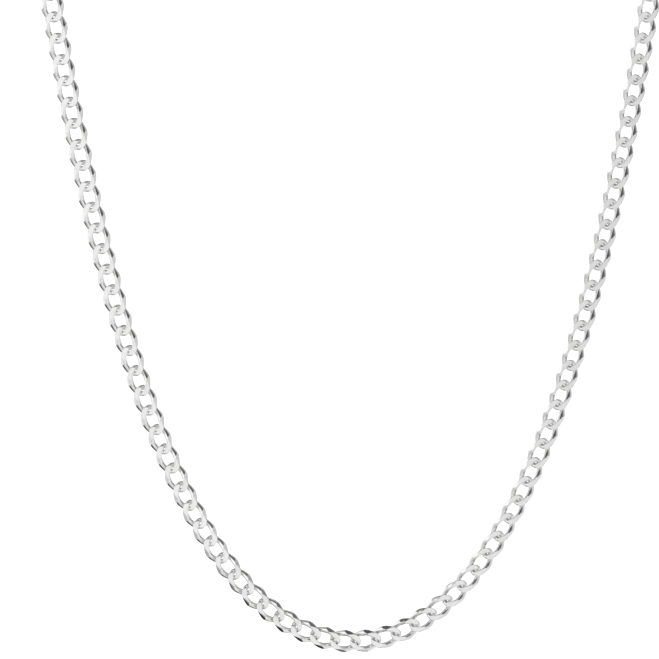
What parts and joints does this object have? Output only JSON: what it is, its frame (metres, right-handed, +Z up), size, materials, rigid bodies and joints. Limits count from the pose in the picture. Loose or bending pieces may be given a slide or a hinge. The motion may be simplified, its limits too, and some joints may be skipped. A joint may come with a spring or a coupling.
{
  "type": "curb chain necklace",
  "caption": "Closed loop of flat twisted curb links in its worn form, with flat end tags, a jump ring and a trigger clasp whose spring lever swings inward to free the end tag.",
  "frame": {"origin": "middle of the clasp assembly's inner face, where the chain rests on the nape", "axes": "+Z up, -Y towards the front of the wearer, +X towards the viewer's right when the front is seen"},
  "size_m": [0.129, 0.0692, 0.1716],
  "materials": {
    "silver": "polished sterling silver, flat-cut faces, faint hairline scratches"
  },
  "bodies": {
    "necklace": {"chain_left": "silver", "chain_right": "silver", "ring_end_tag": "silver", "hook_end_tag": "silver", "jump_ring": "silver", "clasp_body": "silver"},
    "lever": {"clasp_lever": "silver"}
  },
  "joints": [
    {"name": "lever_pivot", "type": "hinge", "parent": "necklace", "child": "lever", "pos_m": [-0.00161, 0.00115, -0.00085], "axis": [0, 1, 0], "range_deg": [0, 24], "stiffness_Nm_per_rad": 0.002, "springref_deg": -28.65}
  ]
}
